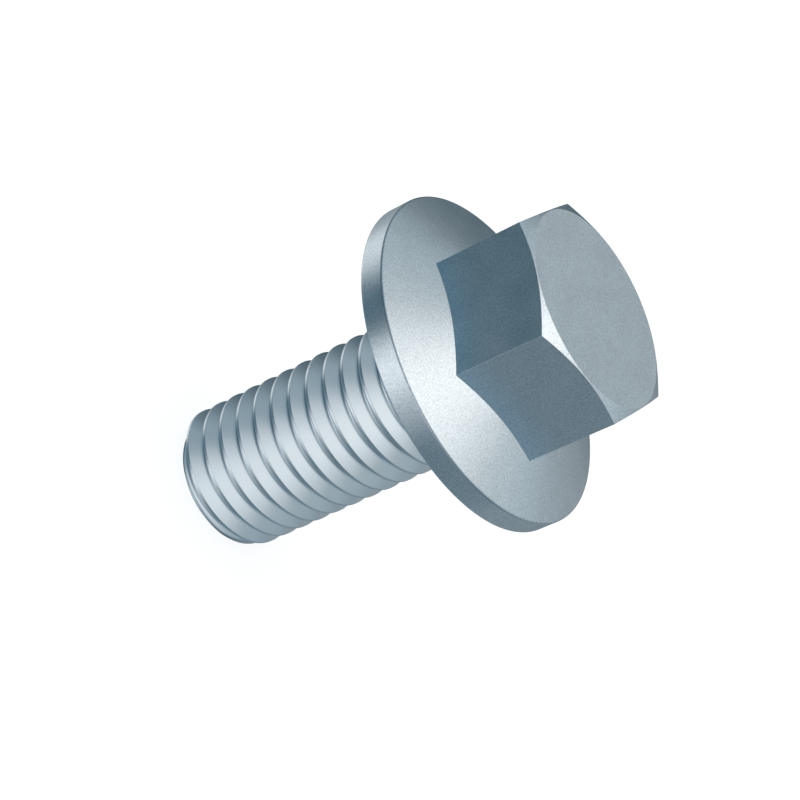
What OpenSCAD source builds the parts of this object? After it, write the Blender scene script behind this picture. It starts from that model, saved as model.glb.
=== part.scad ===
// Hexagon flange bolt, M12 x 1.75 x 25, fully threaded.
// Forged head with a hexagon on a conical flange, and a rolled right-hand thread.
// Millimetres. The origin is the centre of the bearing face under the flange, and +Z points to the head.

/* [Hexagon] */
// Width across the flats of the hexagon
hex_flats = 16; // [14:0.1:18]
// Height of the top face above the bearing face
head_height = 11.56; // [9:0.01:14]
// Diameter of the flat circle inside the top chamfer
top_face_d = 15.84; // [13:0.01:15.95]
// Slope of the top chamfer, in degrees
top_chamfer_slope = 25; // [15:1:35]

/* [Flange] */
// Diameter of the flange
flange_d = 26.6; // [22:0.1:32]
// Height of the upright rim of the flange
rim_height = 1.92; // [1.2:0.01:2.6]
// Slope of the flange from the rim up to the hexagon, in degrees
flange_slope = 21.5; // [15:0.5:25]
// Radius along the upper and lower edges of the rim
rim_edge_radius = 0.15; // [0.05:0.01:0.4]

/* [Shank] */
// Length from the bearing face to the end of the bolt
shank_length = 25; // [16:0.5:45]
// Length of the plain neck between the bearing face and the thread
neck_length = 1.2; // [0.8:0.1:3]
// Diameter of the plain neck
neck_d = 10.8; // [10:0.05:11.8]
// Radius of the fillet between the neck and the bearing face
neck_fillet = 0.6; // [0.2:0.05:0.75]

/* [Thread] */
// Nominal diameter of the thread
thread_d = 12; // [11:0.05:14]
// Distance from one crest of the thread to the next
thread_pitch = 1.75; // [1.25:0.05:2]
// How far the diameter over the crests stays under the nominal one
crest_allowance = 0.14; // [0.03:0.01:0.3]
// Length over which the thread rises out of the neck
runout_length = 1.4; // [0.6:0.1:3]
// Diameter of the flat end face
end_face_d = 9.5; // [7:0.05:9.7]
// Length of the chamfer at the end of the thread
end_chamfer_length = 0.9; // [0.5:0.05:2]

/* [Hidden] */
$fn = 96;
zinc_grey = [0.53, 0.60, 0.64];

flange_r = flange_d / 2;
top_face_r = top_face_d / 2;
corner_r = hex_flats / (2 * cos(30));
// The forging's parts run this far into each other, so that they meet in solid metal.
overlap = 1;
// Steps of the small round edges
arc_steps = 4;

// The basic vee of a 60 degree thread, and the radii that follow from it
vee_height = thread_pitch * cos(30);
crest_r = (thread_d - crest_allowance) / 2;
// The bar that the thread is rolled into is this much thinner than the neck, on the radius.
neck_step = 0.15;
blank_r = neck_d / 2 - neck_step;

// One tooth, from crest to crest: [share of the pitch along the axis, share of the vee below the crest]
tooth = [[-1/16, 0], [1/16, 0], [3/8, 5/8], [1/2, 17/24], [5/8, 5/8]];
tooth_rows = len(tooth);
// Facets in one turn of the thread
turn_facets = 40;
// Height of the crest on the +X side, counted in whole pitches from there
crest_level = 0.25;
// The threaded blank runs past both ends and is trimmed there
blank_low = -shank_length - 1.5 * thread_pitch;
blank_high = rim_height / 2;
first_level = crest_level + thread_pitch * (floor((blank_low - crest_level) / thread_pitch) - 1);
thread_turns = ceil((blank_high - first_level) / thread_pitch) + 1;
thread_rows = tooth_rows * thread_turns;
low_ring = thread_rows * turn_facets;
high_ring = low_ring + turn_facets;

// Points of a round corner about a centre, from one angle to another
function corner_arc(x, z, radius, from, to) =
    [for (i = [0:arc_steps])
        let (a = from + (to - from) * i / arc_steps)
        [x + radius * cos(a), z + radius * sin(a)]];

// Height of one point of the helix: a row climbs one pitch in one turn
function level(row, facet) =
    first_level + thread_pitch * (floor(row / tooth_rows) + tooth[row % tooth_rows][0] + facet / turn_facets);

// Share of the tooth's form that is rolled in at a level: none in the neck, all of it past the run-out
function rolled(z) = max(0, min(1, (-neck_length - z) / runout_length));

// Radius of a row of the tooth at a level: crests rise out of the bar, and roots sink into it
function tooth_radius(row, z) =
    blank_r + (crest_r - vee_height * tooth[row % tooth_rows][1] - blank_r) * rolled(z);

function ring_point(radius, facet, z) =
    [radius * cos(360 * facet / turn_facets), radius * sin(360 * facet / turn_facets), z];

// Number of a point of the blank: rows past its ends gather in the two end rings
function blank_index(row, facet) =
    facet == turn_facets ? blank_index(row + tooth_rows, 0)
    : level(row, facet) <= blank_low ? low_ring + facet
    : level(row, facet) >= blank_high ? high_ring + facet
    : row * turn_facets + facet;

function is_face(t) = t[0] != t[1] && t[1] != t[2] && t[2] != t[0];

// The threaded blank: one closed surface that climbs along the helix, flat at both ends
module threaded_blank() {
    points = [
        for (row = [0:thread_rows - 1], facet = [0:turn_facets - 1])
            let (z = level(row, facet))
            ring_point(tooth_radius(row, z), facet, z),
        for (facet = [0:turn_facets - 1]) ring_point(blank_r, facet, blank_low),
        for (facet = [0:turn_facets - 1]) ring_point(blank_r, facet, blank_high)
    ];
    faces = [
        for (row = [0:thread_rows - 2], facet = [0:turn_facets - 1])
            let (
                a = blank_index(row, facet),
                b = blank_index(row, facet + 1),
                c = blank_index(row + 1, facet + 1),
                d = blank_index(row + 1, facet)
            )
            for (t = [[a, c, b], [a, d, c]])
                if (is_face(t)) t,
        [for (facet = [0:turn_facets - 1]) low_ring + facet],
        [for (facet = [turn_facets - 1:-1:0]) high_ring + facet]
    ];
    polyhedron(points, faces);
}

// What is left of the blank after the end is chamfered and faced
module end_trim() {
    clear_r = crest_r + overlap;
    chamfer_run = end_chamfer_length / (crest_r - end_face_d / 2);
    rotate_extrude()
        polygon([
            [0, -shank_length],
            [end_face_d / 2, -shank_length],
            [clear_r, -shank_length + (clear_r - end_face_d / 2) * chamfer_run],
            [clear_r, blank_high + overlap],
            [0, blank_high + overlap]
        ]);
}

module threaded_shank() {
    intersection() {
        threaded_blank();
        end_trim();
    }
}

// The plain neck under the head, with its fillet
module neck() {
    rotate_extrude()
        polygon(concat(
            [[0, -neck_length], [neck_d / 2, -neck_length]],
            corner_arc(neck_d / 2 + neck_fillet, -neck_fillet, neck_fillet, 180, 90),
            [[neck_d / 2 + neck_fillet, overlap], [0, overlap]]
        ));
}

// The round flange: an upright rim with softened edges, and a cone up to the hexagon
module flange() {
    edge = rim_edge_radius;
    // The upper edge is round from the upright rim to the slope of the cone.
    upper_z = rim_height - edge * tan((90 - flange_slope) / 2);
    rotate_extrude()
        polygon(concat(
            [[0, 0]],
            corner_arc(flange_r - edge, edge, edge, -90, 0),
            corner_arc(flange_r - edge, upper_z, edge, 0, 90 - flange_slope),
            [[0, rim_height + flange_r * tan(flange_slope)]]
        ));
}

// The hexagon, chamfered round its top corners
module hexagon() {
    cone_top = head_height + top_face_r * tan(top_chamfer_slope);
    cone_r = corner_r + overlap;
    intersection() {
        cylinder(h = head_height, r = corner_r, $fn = 6);
        rotate_extrude()
            polygon([
                [0, -overlap],
                [cone_r, -overlap],
                [cone_r, cone_top - cone_r * tan(top_chamfer_slope)],
                [top_face_r, head_height],
                [top_face_r, head_height + overlap],
                [0, head_height + overlap]
            ]);
    }
}

module flange_bolt() {
    color(zinc_grey)
    union() {
        flange();
        hexagon();
        neck();
        threaded_shank();
    }
}

flange_bolt();
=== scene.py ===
import math

import bpy
import numpy as np
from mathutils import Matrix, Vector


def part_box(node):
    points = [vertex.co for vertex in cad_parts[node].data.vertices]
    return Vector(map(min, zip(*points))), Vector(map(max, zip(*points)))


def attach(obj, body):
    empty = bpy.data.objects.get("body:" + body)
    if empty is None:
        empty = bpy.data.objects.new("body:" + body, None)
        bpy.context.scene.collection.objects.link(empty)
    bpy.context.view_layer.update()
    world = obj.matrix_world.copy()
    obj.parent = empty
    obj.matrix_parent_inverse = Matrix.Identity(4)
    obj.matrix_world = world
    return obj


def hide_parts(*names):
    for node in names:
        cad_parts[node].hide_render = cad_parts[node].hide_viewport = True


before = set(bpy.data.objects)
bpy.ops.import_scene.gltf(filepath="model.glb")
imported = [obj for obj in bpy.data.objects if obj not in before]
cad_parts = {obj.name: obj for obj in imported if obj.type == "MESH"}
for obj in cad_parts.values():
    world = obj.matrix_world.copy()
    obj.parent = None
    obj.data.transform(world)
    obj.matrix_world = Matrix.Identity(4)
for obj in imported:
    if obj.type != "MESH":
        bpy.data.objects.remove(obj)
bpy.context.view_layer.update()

# The bolt. One piece of steel: the head is forged hot from the bar, the hexagon is trimmed and
# chamfered, the thread is rolled between dies, and the whole bolt is plated with bluish zinc.
# First comes its form, as one skin of rings and helical rows from the top face to the end face.
MM = 0.001
bolt_low, bolt_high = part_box("flange_bolt")
HEX_FLATS = 16 * MM
HEX_CORNER_RADIUS = 0.01 * MM
head_top = bolt_high.z
TOP_FACE_RADIUS = 7.92 * MM
TOP_CHAMFER_SLOPE = math.radians(25)
flange_radius = bolt_high.x
RIM_HEIGHT = 1.92 * MM
FLANGE_SLOPE = math.radians(21.5)
NECK_RADIUS = 5.4 * MM
NECK_LENGTH = 1.2 * MM
NECK_FILLET = 0.6 * MM
RIM_EDGE = 0.12 * MM
SHARP_EDGE = 0.02 * MM
ROOT_EDGE = 0.04 * MM
SIDES = 6
SECTOR = math.radians(360 / SIDES)
COLUMNS_IN_SECTOR = 40
# Columns close to a corner of the hexagon, in degrees from it. The first stands clear of its rounding.
CORNER_COLUMNS = [-0.2, -0.093, -0.047, 0.0, 0.047, 0.093]
# The rounding of an edge takes at most this share of the shorter line beside it, and the rows that
# support it stand this many times its reach from the corner.
EDGE_SHARE = 0.3
SUPPORT_REACH = 1.6
# Radius of the innermost ring of a flat round face, as a share of the face's own
POLE_SHARE = 0.02


def column_angles():
    """Angles of the skin's columns round the axis. Each 60 degree sector of the hexagon has the same
    columns: six close ones over the rounded corner, and the rest evenly spread along the flat."""
    corner = np.radians(CORNER_COLUMNS)
    clear = -corner[0]
    flat_columns = COLUMNS_IN_SECTOR - len(corner)
    flat = np.linspace(clear, SECTOR - clear, flat_columns + 1)[:-1]
    sector = np.concatenate([corner, flat])
    return (sector[None, :] + SECTOR * np.arange(SIDES)[:, None]).ravel()


def hexagon_radius(angles):
    """Distance from the axis to the hexagon's wall. On a flat it is the half width across flats over
    the cosine of the angle from the flat's middle. Near a corner it is the far crossing of the ray
    with the circle that rounds the corner."""
    half = HEX_FLATS / 2
    off_corner = (angles + SECTOR / 2) % SECTOR - SECTOR / 2
    centre = (half - HEX_CORNER_RADIUS) / math.cos(SECTOR / 2)
    across = np.clip(HEX_CORNER_RADIUS ** 2 - (centre * np.sin(off_corner)) ** 2, 0, None)
    rounded = centre * np.cos(off_corner) + np.sqrt(across)
    flat = half / np.cos(SECTOR / 2 - np.abs(off_corner))
    tangent = math.atan2(HEX_CORNER_RADIUS / 2, centre + HEX_CORNER_RADIUS * math.cos(SECTOR / 2))
    return np.where(np.abs(off_corner) < tangent, rounded, flat)


def soft_edge(before, corner, after, reach, steps=4):
    """Rows that round an edge of the section: the parabola that leaves the line to the point before
    and joins the line to the point after, each at the reach from the corner, and one supporting row
    beyond each end that keeps the shading of the broad faces flat."""
    back = before - corner
    ahead = after - corner
    back_length = np.linalg.norm(back, axis=1, keepdims=True)
    ahead_length = np.linalg.norm(ahead, axis=1, keepdims=True)
    cut = np.minimum(reach, EDGE_SHARE * np.minimum(back_length, ahead_length))
    back = back / back_length * cut
    ahead = ahead / ahead_length * cut
    u = np.linspace(0, 1, steps)[:, None, None]
    arc = corner + (1 - u) ** 2 * back + u ** 2 * ahead
    return [corner + SUPPORT_REACH * back, *arc, corner + SUPPORT_REACH * ahead]


def straight(start, end, rows):
    """Rows spaced evenly between two rows of the section, without the two themselves."""
    u = np.linspace(0, 1, rows + 2)[1:-1, None, None]
    return list(start + u * (end - start))


def head_rows(angles):
    """Rows of the head from its top face to the end of the neck, each as radius and height at every
    column. The section is a polyline through the top circle, the chamfer's foot on the hexagon, the
    hexagon's foot on the cone, both edges of the rim and the neck, with every edge rounded."""
    wall = hexagon_radius(angles)
    level = np.ones_like(angles)

    def station(radius, height):
        return np.stack([radius * level, height * level], axis=1)

    stations = [
        station(0.0, head_top),
        station(TOP_FACE_RADIUS, head_top),
        station(wall, head_top - (wall - TOP_FACE_RADIUS) * math.tan(TOP_CHAMFER_SLOPE)),
        station(wall, RIM_HEIGHT + (flange_radius - wall) * math.tan(FLANGE_SLOPE)),
        station(flange_radius, RIM_HEIGHT),
        station(flange_radius, 0.0),
        station(NECK_RADIUS, 0.0),
        station(NECK_RADIUS, -NECK_LENGTH),
    ]
    reaches = [SHARP_EDGE, SHARP_EDGE, ROOT_EDGE, RIM_EDGE, RIM_EDGE, NECK_FILLET]
    # Rows in each rounded edge, and rows on the lines before, between and after the edges
    steps = [4, 4, 4, 6, 6, 8]
    spans = [3, 2, 4, 5, 1, 4, 1]
    rows = [POLE_SHARE * stations[1] + (1 - POLE_SHARE) * stations[0]]
    for i, reach in enumerate(reaches):
        edge = soft_edge(stations[i], stations[i + 1], stations[i + 2], reach, steps[i])
        rows += straight(rows[-1], edge[0], spans[i]) + edge
    rows += straight(rows[-1], stations[-1], spans[-1]) + [stations[-1]]
    return np.array(rows)


# The rolled thread, M12 by 1.75, right-hand. Its rows climb along the helix, so that crests and
# roots stay clean lines, and they gather in one ring at the neck and one at the chamfered end.
PITCH = 1.75 * MM
VEE_HEIGHT = PITCH * math.cos(math.radians(30))
CREST_RADIUS = 5.93 * MM
# Height of the crest on the +X side, counted in whole pitches from there
CREST_LEVEL = 0.32 * MM
RUNOUT_LENGTH = 1.4 * MM
END_FACE_RADIUS = 4.75 * MM
END_CHAMFER_LENGTH = 0.9 * MM
# How much the end chamfer widens, on the radius, for its height
END_CHAMFER_RISE = (CREST_RADIUS - END_FACE_RADIUS) / END_CHAMFER_LENGTH
END_EDGE = 0.1 * MM
END_FACE_ROWS = 3
CREST_EDGE = 0.012 * MM
CREST_STEPS = 3
ROOT_STEPS = 7
FLANK_ROWS = 3
# Distance of the row that supports the root's arc from that arc, as a share of the flank
ROOT_SUPPORT = 0.12


def tooth_section():
    """One tooth from crest to crest, as shares of a pitch along the axis, downwards, and depths under
    the crest. The crest flat is an eighth of the pitch, the flanks fall at 60 degrees to each other,
    and the root is an arc whose radius is a sixth of the vee's height, tangent to both flanks, which
    puts its centre 13/24 of that height under the crest."""
    half_crest = PITCH / 16
    root_radius = VEE_HEIGHT / 6
    root_centre = VEE_HEIGHT * 13 / 24
    swing = np.radians(np.linspace(-60, 60, ROOT_STEPS))
    arc = np.stack([
        PITCH / 2 + root_radius * np.sin(swing),
        root_centre + root_radius * np.cos(swing),
    ], axis=1)
    down = soft_edge(
        np.array([[-half_crest, 0.0]]), np.array([[half_crest, 0.0]]), arc[:1], CREST_EDGE, CREST_STEPS)
    down = np.array(down)[:, 0]
    flank = down[-1] + np.linspace(0, 1, FLANK_ROWS + 2)[1:-1, None] * (arc[0] - down[-1])
    last = arc[0] + ROOT_SUPPORT * (down[-1] - arc[0])
    half = np.concatenate([down[1:], flank, last[None, :], arc[:ROOT_STEPS // 2 + 1]])
    mirrored = half[::-1][1:] * [-1, 1] + [PITCH, 0]
    section = np.concatenate([half, mirrored])
    return section[:, 0] / PITCH, section[:, 1]


def smooth_step(share):
    """Rise from none to one that starts and ends level: three times the square less twice the cube."""
    share = np.clip(share, 0.0, 1.0)
    return share ** 2 * (3 - 2 * share)


def shank_radius(depth, level):
    """Radius of the shank. Between the neck and the run-out's end the tooth rises out of the neck by a
    smooth step of the height, and at the end the chamfer's cone caps it."""
    standing = smooth_step((-NECK_LENGTH - level) / RUNOUT_LENGTH)
    tooth = NECK_RADIUS + (CREST_RADIUS - depth - NECK_RADIUS) * standing
    return np.minimum(tooth, END_FACE_RADIUS + (level - bolt_low.z) * END_CHAMFER_RISE)


def thread_rows(angles, neck_ring, end_ring, first_index):
    """Points and vertex numbers of the helical rows. A row's level is the first level, plus the pitch
    times the share of a turn at the column, less its own share down the tooth and the whole pitches
    above it. A point past the neck or the chamfer takes the number of that ring's vertex instead."""
    shares, depths = tooth_section()
    columns = len(angles)
    top = -NECK_LENGTH
    low = bolt_low.z + END_EDGE
    # Whole turns above the first crest and in all, with some to spare past the neck and the chamfer
    above = math.ceil((top - CREST_LEVEL) / PITCH) + 1
    turns = math.ceil((top - low) / PITCH) + 3
    row_shares = (shares[None, :] + np.arange(turns)[:, None]).ravel()
    row_depths = np.tile(depths, turns)
    turn = np.append(angles, angles[0] + 2 * math.pi) / (2 * math.pi)
    level = CREST_LEVEL + PITCH * (above + turn[None, :] - row_shares[:, None])
    radius = shank_radius(row_depths[:, None], level)
    inner = level[:, :-1]
    points = np.stack([
        radius[:, :-1] * np.cos(angles), radius[:, :-1] * np.sin(angles), inner], axis=2)
    number = first_index + np.arange(inner.size).reshape(inner.shape)
    # After a full turn a row meets the row one tooth above it
    closing = np.roll(number[:, 0], len(shares))
    number = np.concatenate([number, closing[:, None]], axis=1)
    ring = np.append(np.arange(columns), 0)
    number = np.where(level >= top, neck_ring + ring, number)
    number = np.where(level <= low, end_ring + ring, number)
    return points.reshape(-1, 3), number


def end_rows(angles):
    """Rows from the foot of the end chamfer over its rounded edge and in across the flat end face."""
    level = np.ones_like(angles)[:, None]
    chamfer = np.array([END_FACE_RADIUS + END_EDGE * END_CHAMFER_RISE, bolt_low.z + END_EDGE]) * level
    edge = np.array([END_FACE_RADIUS, bolt_low.z]) * level
    centre = np.array([0.0, bolt_low.z]) * level
    rounded = soft_edge(chamfer, edge, centre, END_EDGE)
    rows = [chamfer] + rounded[1:]
    last = POLE_SHARE * edge + (1 - POLE_SHARE) * centre
    return np.array(rows + straight(rows[-1], last, END_FACE_ROWS) + [last])


def ring_points(rows, angles):
    """Points of level rings from their radii and heights, turned round the axis by the columns."""
    return np.stack([
        rows[:, :, 0] * np.cos(angles), rows[:, :, 0] * np.sin(angles), rows[:, :, 1]], axis=2)


def ring_numbers(rows, columns, first_index):
    """Vertex numbers of closed rings: the last column is the first one again."""
    number = first_index + np.arange(rows * columns).reshape(rows, columns)
    return np.concatenate([number, number[:, :1]], axis=1)


def bolt_skin():
    """The whole skin as points and triangles. Rows of vertex numbers run from the pole of the top face
    to the pole of the end face. Each cell between two rows and two columns gives two triangles, and
    those with a repeated vertex are left out."""
    angles = column_angles()
    columns = len(angles)
    head = ring_points(head_rows(angles), angles)
    end = ring_points(end_rows(angles), angles)
    head_first = 1
    end_first = head_first + head.shape[0] * columns
    bottom_pole = end_first + end.shape[0] * columns
    helix_first = bottom_pole + 1
    neck_ring = end_first - columns
    helix, helix_numbers = thread_rows(angles, neck_ring, end_first, helix_first)
    poles = np.array([[0, 0, head_top], [0, 0, bolt_low.z]])
    points = np.concatenate([
        poles[:1], head.reshape(-1, 3), end.reshape(-1, 3), poles[1:], helix])
    pole_row = np.zeros((1, columns + 1), int)
    grid = np.concatenate([
        pole_row,
        ring_numbers(head.shape[0], columns, head_first),
        helix_numbers,
        ring_numbers(end.shape[0], columns, end_first),
        pole_row + bottom_pole,
    ])
    a, b = grid[:-1, :-1], grid[:-1, 1:]
    c, d = grid[1:, 1:], grid[1:, :-1]
    triangles = np.concatenate([
        np.stack([a, d, b], axis=2).reshape(-1, 3), np.stack([b, d, c], axis=2).reshape(-1, 3)])
    whole = (
        (triangles[:, 0] != triangles[:, 1])
        & (triangles[:, 1] != triangles[:, 2])
        & (triangles[:, 2] != triangles[:, 0]))
    triangles = triangles[whole]
    used, triangles = np.unique(triangles, return_inverse=True)
    return points[used], triangles.reshape(-1, 3)


def shell(name, points, faces, smooth=True):
    """A mesh object at the origin from arrays of points and of faces with equal numbers of corners."""
    mesh = bpy.data.meshes.new(name)
    mesh.from_pydata(points.tolist(), [], faces.tolist())
    mesh.polygons.foreach_set("use_smooth", np.full(len(faces), smooth))
    mesh.update()
    piece = bpy.data.objects.new(name, mesh)
    bpy.context.scene.collection.objects.link(piece)
    return piece


skin_points, skin_faces = bolt_skin()
bolt = shell("plated_flange_bolt", skin_points, skin_faces)

# How much of the forged skin's grain shows at each point: all of it on the head, less and less over
# the neck, and none on the thread, which the rolling dies have burnished.
GRAIN_FADE = 1.5 * MM
grain = bolt.data.attributes.new("forged_grain", "FLOAT", "POINT")
grain.data.foreach_set("value", np.clip(1 + skin_points[:, 2] / GRAIN_FADE, 0.0, 1.0))

# The painted reflection of the flange's cone on the hexagon's flats: a bluish tint, most at their foot,
# where they face the cone, and less by a smooth step of the height above it.
PAINTED_REFLECTION_HEIGHT = 2.6 * MM
# A point this near to the hexagon's wall lies on it
WALL_TOLERANCE = 0.001 * MM
skin_radius = np.hypot(skin_points[:, 0], skin_points[:, 1])
wall_radius = hexagon_radius(np.arctan2(skin_points[:, 1], skin_points[:, 0]))
above_cone = skin_points[:, 2] - RIM_HEIGHT - (flange_radius - skin_radius) * math.tan(FLANGE_SLOPE)
on_wall = (np.abs(skin_radius - wall_radius) < WALL_TOLERANCE) & (above_cone > WALL_TOLERANCE)
foot = bolt.data.attributes.new("painted_cone_reflection", "FLOAT", "POINT")
foot.data.foreach_set("value", np.where(on_wall, smooth_step(1 - above_cone / PAINTED_REFLECTION_HEIGHT), 0.0))


# The zinc plating. Thin bluish passivated zinc over steel: a satin metal whose fine crystals show as
# a sandy grain of a tenth of a millimetre, with a faint cloudiness over a few millimetres.
ZINC_COLOUR = (0.66, 0.73, 0.78)
WHITE = (1.0, 1.0, 1.0, 1.0)
# Painted reflection: the bluish tint that the flats' foot takes from the flange's cone
PAINTED_REFLECTION_TINT = (1.07, 1.19, 1.31, 1.0)
# The noise of the grain and of the clouds: its scale, its layers and the strength of the finer ones,
# the range of its values that counts, and what that range is spread over
GRAIN_SCALE = 7500
GRAIN_LAYERS = 2.0
GRAIN_FINENESS = 0.6
GRAIN_RANGE = (0.25, 0.75)
GRAIN_TONES = (0.79, 1.21)
GRAIN_HEIGHT = 0.009 * MM
CLOUD_SCALE = 420
CLOUD_LAYERS = 3.0
CLOUD_FINENESS = 0.5
CLOUD_RANGE = (0.3, 0.7)
CLOUD_TONES = (0.97, 1.03)
CLOUD_ROUGHNESS = (0.285, 0.325)


def add_node(tree, kind, **settings):
    """A node of a material with its settings and its unlinked inputs set."""
    node = tree.nodes.new(kind)
    for key, value in settings.items():
        if key.startswith("in_"):
            node.inputs[int(key[3:])].default_value = value
        else:
            setattr(node, key, value)
    return node


def spread(tree, noise, values, onto):
    """A noise's value, carried evenly from one range of values onto another."""
    node = add_node(
        tree, "ShaderNodeMapRange", in_1=values[0], in_2=values[1], in_3=onto[0], in_4=onto[1])
    tree.links.new(noise.outputs[0], node.inputs[0])
    return node.outputs[0]


def zinc_plating():
    """Metal. Its colour is the zinc's times the tone of the clouds, the tone of the grain as far as the
    skin is forged, and a painted reflection: the bluish tint of the flange's cone on the flats' foot. Its
    roughness follows the clouds, and its bump is the grain times the share of the forged skin."""
    material = bpy.data.materials.new("zinc_plating")
    material.use_nodes = True
    tree = material.node_tree
    tree.nodes.clear()
    link = tree.links.new
    place = add_node(tree, "ShaderNodeTexCoord")
    crystals = add_node(
        tree, "ShaderNodeTexNoise", in_2=GRAIN_SCALE, in_3=GRAIN_LAYERS, in_4=GRAIN_FINENESS)
    clouds = add_node(
        tree, "ShaderNodeTexNoise", in_2=CLOUD_SCALE, in_3=CLOUD_LAYERS, in_4=CLOUD_FINENESS)
    link(place.outputs["Object"], crystals.inputs["Vector"])
    link(place.outputs["Object"], clouds.inputs["Vector"])
    forged = add_node(tree, "ShaderNodeAttribute", attribute_name="forged_grain")

    grain_tone = add_node(tree, "ShaderNodeMix", data_type="FLOAT", in_2=1.0)
    link(forged.outputs["Fac"], grain_tone.inputs[0])
    link(spread(tree, crystals, GRAIN_RANGE, GRAIN_TONES), grain_tone.inputs[3])
    both = add_node(tree, "ShaderNodeMath", operation="MULTIPLY")
    link(grain_tone.outputs[0], both.inputs[0])
    link(spread(tree, clouds, CLOUD_RANGE, CLOUD_TONES), both.inputs[1])
    colour = add_node(tree, "ShaderNodeVectorMath", operation="SCALE", in_0=ZINC_COLOUR)
    link(both.outputs[0], colour.inputs[3])
    # The painted reflection of the flange's cone, a bluish tint on the flats' foot
    painted_cone_reflection = add_node(tree, "ShaderNodeAttribute", attribute_name="painted_cone_reflection")
    painted_reflection_mix = add_node(tree, "ShaderNodeMix", data_type="RGBA", in_6=WHITE, in_7=PAINTED_REFLECTION_TINT)
    link(painted_cone_reflection.outputs["Fac"], painted_reflection_mix.inputs[0])
    colour_and_painted_reflection = add_node(tree, "ShaderNodeVectorMath", operation="MULTIPLY")
    link(colour.outputs[0], colour_and_painted_reflection.inputs[0])
    link(painted_reflection_mix.outputs[2], colour_and_painted_reflection.inputs[1])

    height = add_node(tree, "ShaderNodeMath", operation="MULTIPLY")
    link(crystals.outputs[0], height.inputs[0])
    link(forged.outputs["Fac"], height.inputs[1])
    bump = add_node(tree, "ShaderNodeBump")
    bump.inputs["Strength"].default_value = 1.0
    bump.inputs["Distance"].default_value = GRAIN_HEIGHT
    link(height.outputs[0], bump.inputs["Height"])

    metal = add_node(tree, "ShaderNodeBsdfPrincipled")
    metal.inputs["Metallic"].default_value = 1.0
    link(colour_and_painted_reflection.outputs[0], metal.inputs["Base Color"])
    link(spread(tree, clouds, CLOUD_RANGE, CLOUD_ROUGHNESS), metal.inputs["Roughness"])
    link(bump.outputs[0], metal.inputs["Normal"])
    out = add_node(tree, "ShaderNodeOutputMaterial")
    link(metal.outputs[0], out.inputs["Surface"])
    return material


bolt.data.materials.append(zinc_plating())
# The thread's flanks show the room, as in the photograph, and not only the next tooth.
bolt.visible_glossy = False
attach(bolt, "root")
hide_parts("flange_bolt")

# The floor. A plain white studio table, level with the flat end that the bolt stands on. In the
# plating the ground of the studio below stands in for it.
FLOOR_HALF = 3.0
FLOOR_WHITE = (0.8, 0.8, 0.8, 1.0)
FLOOR_GLOW = 0.78
corners = np.array([[-1, -1, 0], [1, -1, 0], [1, 1, 0], [-1, 1, 0]]) * FLOOR_HALF
floor = shell("studio_floor", corners + [0, 0, bolt_low.z], np.array([[0, 1, 2, 3]]), False)


def seen_white(tree):
    """One for camera, glossy and transmission rays, and none for the rays that light the scene."""
    path = add_node(tree, "ShaderNodeLightPath")
    glossy = add_node(tree, "ShaderNodeMath", operation="MAXIMUM")
    tree.links.new(path.outputs["Is Camera Ray"], glossy.inputs[0])
    tree.links.new(path.outputs["Is Glossy Ray"], glossy.inputs[1])
    seen = add_node(tree, "ShaderNodeMath", operation="MAXIMUM")
    tree.links.new(glossy.outputs[0], seen.inputs[0])
    tree.links.new(path.outputs["Is Transmission Ray"], seen.inputs[1])
    return seen.outputs[0]


def floor_paint():
    """White paint that keeps shadows, with a glow for the rays that see it, so that it reads as white."""
    material = bpy.data.materials.new("floor_paint")
    material.use_nodes = True
    tree = material.node_tree
    tree.nodes.clear()
    paint = add_node(tree, "ShaderNodeBsdfDiffuse", in_0=FLOOR_WHITE)
    glow = add_node(tree, "ShaderNodeEmission", in_0=WHITE)
    level = add_node(tree, "ShaderNodeMath", operation="MULTIPLY", in_1=FLOOR_GLOW)
    tree.links.new(seen_white(tree), level.inputs[0])
    tree.links.new(level.outputs[0], glow.inputs[1])
    total = add_node(tree, "ShaderNodeAddShader")
    tree.links.new(paint.outputs[0], total.inputs[0])
    tree.links.new(glow.outputs[0], total.inputs[1])
    out = add_node(tree, "ShaderNodeOutputMaterial")
    tree.links.new(total.outputs[0], out.inputs["Surface"])
    return material


floor.data.materials.append(floor_paint())
floor.visible_glossy = False

# The room. White where the camera sees it. What the plating mirrors is a plain soft studio: a pale
# ground, dim blue-grey walls, a broad bright ceiling, and soft cards that stand round the bolt.
ROOM_LIGHTING_LEVEL = 0.25
ROOM_SEEN_LEVEL = 1.0
GROUND_TINT = (0.75, 0.88, 1.0)
LOW_WALL_TINT = (0.4, 0.78, 1.0)
HIGH_WALL_TINT = (0.62, 0.86, 1.0)
CEILING_TINT = (0.95, 0.98, 1.0)
PALE_CARD_TINT = (1.0, 0.94, 0.9)
WARM_CARD_TINT = (1.0, 0.85, 0.7)
# The studio's level and tint at each height over the horizon, in degrees, from below to above. This
# list and the next started from a fit of the render to the photograph, and were then cut down, rounded
# and changed.
STUDIO_HEIGHTS = [
    (-90, 0.40, GROUND_TINT),
    (-65, 0.55, GROUND_TINT),
    (-45, 0.30, LOW_WALL_TINT),
    (-25, 0.16, LOW_WALL_TINT),
    (0, 0.13, LOW_WALL_TINT),
    (20, 0.20, HIGH_WALL_TINT),
    (40, 0.50, HIGH_WALL_TINT),
    (54, 0.37, HIGH_WALL_TINT),
    (64, 0.80, CEILING_TINT),
    (73, 0.98, CEILING_TINT),
    (82, 1.10, CEILING_TINT),
    (90, 0.80, CEILING_TINT),
]
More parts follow.
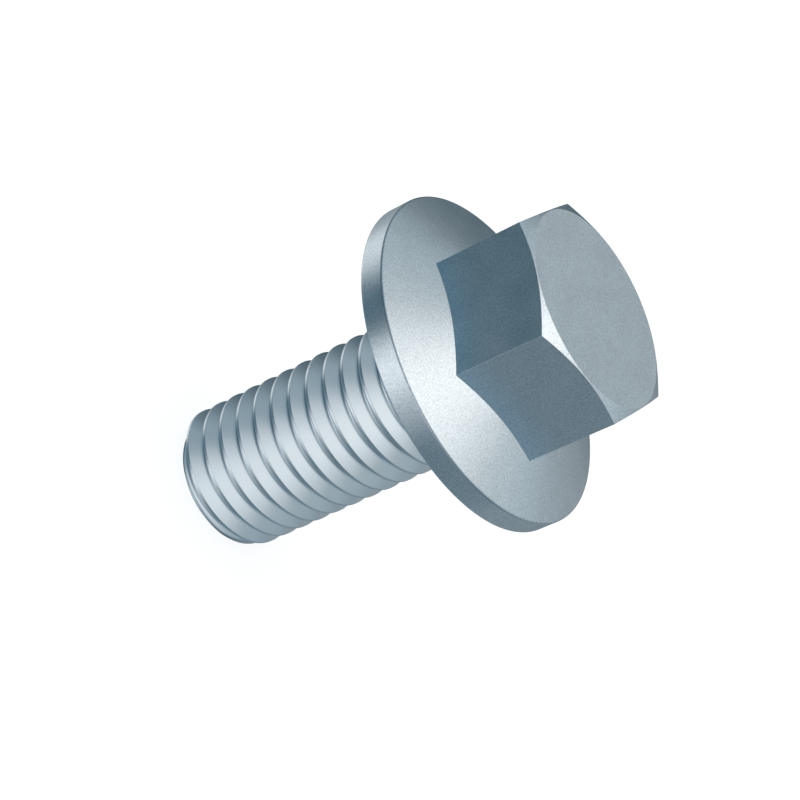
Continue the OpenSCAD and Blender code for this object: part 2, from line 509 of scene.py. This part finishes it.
# The soft cards: bearing, height and reach in degrees, and the level and tint that each adds
STUDIO_CARDS = [
    # In front of the bolt, seen in the rim and the crests
    (155, -20, 24, 0.80, PALE_CARD_TINT),
    (160, -40, 24, 0.75, PALE_CARD_TINT),
    (175, 20, 24, 0.65, PALE_CARD_TINT),
    (185, -20, 24, 0.42, PALE_CARD_TINT),
    (190, -5, 24, 0.32, PALE_CARD_TINT),
    (210, 0, 24, 0.42, PALE_CARD_TINT),
    # To both sides, low
    (30, -30, 24, 0.25, PALE_CARD_TINT),
    (50, -10, 24, 0.20, PALE_CARD_TINT),
    (70, -30, 24, 0.95, PALE_CARD_TINT),
    (235, -30, 24, 0.07, PALE_CARD_TINT),
    (240, -10, 24, 0.12, PALE_CARD_TINT),
    (270, -30, 24, 0.12, PALE_CARD_TINT),
    (310, -10, 50, 0.22, PALE_CARD_TINT),
    # Behind and above, seen in the top face and the flange's cone
    (350, 20, 35, 0.20, PALE_CARD_TINT),
    (15, 50, 35, 0.30, WARM_CARD_TINT),
    (325, 50, 24, 0.30, WARM_CARD_TINT),
    (260, 45, 24, 0.16, WARM_CARD_TINT),
    (345, 70, 20, 0.28, PALE_CARD_TINT),
    (0, 80, 16, 0.50, WARM_CARD_TINT),
]
# The ramp over the height holds its levels as shares of this one
STUDIO_BRIGHTEST = 2.0


def direction(bearing, height):
    """Unit vector to a bearing round the axis and a height over the horizon, both in degrees."""
    bearing, height = math.radians(bearing), math.radians(height)
    return (
        math.cos(height) * math.cos(bearing), math.cos(height) * math.sin(bearing), math.sin(height))


def studio_light(tree):
    """Light of the studio in each direction: a ramp over the sine of the height, plus each soft card's
    light times a smooth step of the cosine of the angle from its middle."""
    link = tree.links.new
    place = add_node(tree, "ShaderNodeTexCoord")
    parts = add_node(tree, "ShaderNodeSeparateXYZ")
    link(place.outputs["Generated"], parts.inputs[0])
    height = add_node(tree, "ShaderNodeMapRange", in_1=-1.0, in_2=1.0)
    link(parts.outputs["Z"], height.inputs[0])
    ramp = add_node(tree, "ShaderNodeValToRGB")
    link(height.outputs[0], ramp.inputs[0])
    stops = ramp.color_ramp.elements
    # A new ramp has a stop at either end, so only those between them are added.
    for degrees, level, tint in STUDIO_HEIGHTS[1:-1]:
        stops.new((1 + math.sin(math.radians(degrees))) / 2)
    for stop, (degrees, level, tint) in zip(stops, STUDIO_HEIGHTS):
        stop.color = (*(level * part / STUDIO_BRIGHTEST for part in tint), 1.0)
    total = add_node(tree, "ShaderNodeVectorMath", operation="SCALE", in_3=STUDIO_BRIGHTEST)
    link(ramp.outputs["Color"], total.inputs[0])
    for bearing, degrees, reach, level, tint in STUDIO_CARDS:
        along = add_node(
            tree, "ShaderNodeVectorMath", operation="DOT_PRODUCT", in_1=direction(bearing, degrees))
        link(place.outputs["Generated"], along.inputs[0])
        share = add_node(
            tree, "ShaderNodeMapRange", interpolation_type="SMOOTHSTEP",
            in_1=math.cos(math.radians(reach)), in_2=1.0)
        link(along.outputs["Value"], share.inputs[0])
        light = tuple(level * part for part in tint)
        added = add_node(tree, "ShaderNodeVectorMath", operation="MULTIPLY_ADD", in_1=light)
        link(share.outputs[0], added.inputs[0])
        link(total.outputs[0], added.inputs[2])
        total = added
    return total.outputs[0]


world = bpy.data.worlds.new("white_room")
world.use_nodes = True
bpy.context.scene.world = world
room = world.node_tree
room.nodes.clear()
room_path = add_node(room, "ShaderNodeLightPath")
room_level = add_node(room, "ShaderNodeMapRange", in_3=ROOM_LIGHTING_LEVEL, in_4=ROOM_SEEN_LEVEL)
room.links.new(seen_white(room), room_level.inputs[0])
room_white = add_node(room, "ShaderNodeBackground", in_0=WHITE)
room.links.new(room_level.outputs[0], room_white.inputs[1])
room_studio = add_node(room, "ShaderNodeBackground", in_1=1.0)
room.links.new(studio_light(room), room_studio.inputs[0])
room_mix = add_node(room, "ShaderNodeMixShader")
room.links.new(room_path.outputs["Is Glossy Ray"], room_mix.inputs[0])
room.links.new(room_white.outputs[0], room_mix.inputs[1])
room.links.new(room_studio.outputs[0], room_mix.inputs[2])
room_out = add_node(room, "ShaderNodeOutputWorld")
room.links.new(room_mix.outputs[0], room_out.inputs["Surface"])

# The overhead lamp. A square softbox above the bolt, which gives the floor its soft shadow. It isn't
# mirrored in the plating, where the bright ceiling of the studio stands in for it.
LAMP_HEIGHT = 0.35
LAMP_SIDE = 0.3
LAMP_POWER = 0.25
softbox = bpy.data.lights.new("softbox", "AREA")
softbox.size = LAMP_SIDE
softbox.energy = LAMP_POWER
lamp = bpy.data.objects.new("softbox", softbox)
lamp.location = (0.0, 0.0, LAMP_HEIGHT)
lamp.visible_glossy = False
bpy.context.scene.collection.objects.link(lamp)

# The camera. It looks down on the head from the side of one corner, and is rolled about its own axis,
# as the photograph was framed.
CAMERA_PLACE = (-150.149 * MM, 1.846 * MM, 78.401 * MM)
CAMERA_BEARING = math.radians(-0.7035)
CAMERA_DIP = math.radians(29.560)
CAMERA_ROLL = math.radians(-65.046)
LENS = 100.58
FILM_WIDTH = 36.0
NEAREST_SEEN = 10 * MM


def camera_axes(bearing, dip, roll):
    """Columns of the camera's turn: right, up and back. It looks along the bearing and down by the dip,
    and its level right and up are then turned about that line by the roll."""
    ahead = np.array([
        math.cos(dip) * math.cos(bearing), math.cos(dip) * math.sin(bearing), -math.sin(dip)])
    level_right = np.cross(ahead, [0, 0, 1])
    level_right /= np.linalg.norm(level_right)
    level_up = np.cross(level_right, ahead)
    up = math.cos(roll) * level_up + math.sin(roll) * level_right
    right = np.cross(ahead, up)
    return np.stack([right, up, -ahead], axis=1)


view = bpy.data.cameras.new("camera")
view.sensor_fit = "HORIZONTAL"
view.sensor_width = FILM_WIDTH
view.lens = LENS
view.clip_start = NEAREST_SEEN
camera = bpy.data.objects.new("camera", view)
turned = np.eye(4)
turned[:3, :3] = camera_axes(CAMERA_BEARING, CAMERA_DIP, CAMERA_ROLL)
turned[:3, 3] = CAMERA_PLACE
camera.matrix_world = turned.T.tolist()
bpy.context.scene.collection.objects.link(camera)
bpy.context.scene.camera = camera
bpy.context.scene.view_settings.view_transform = "Standard"
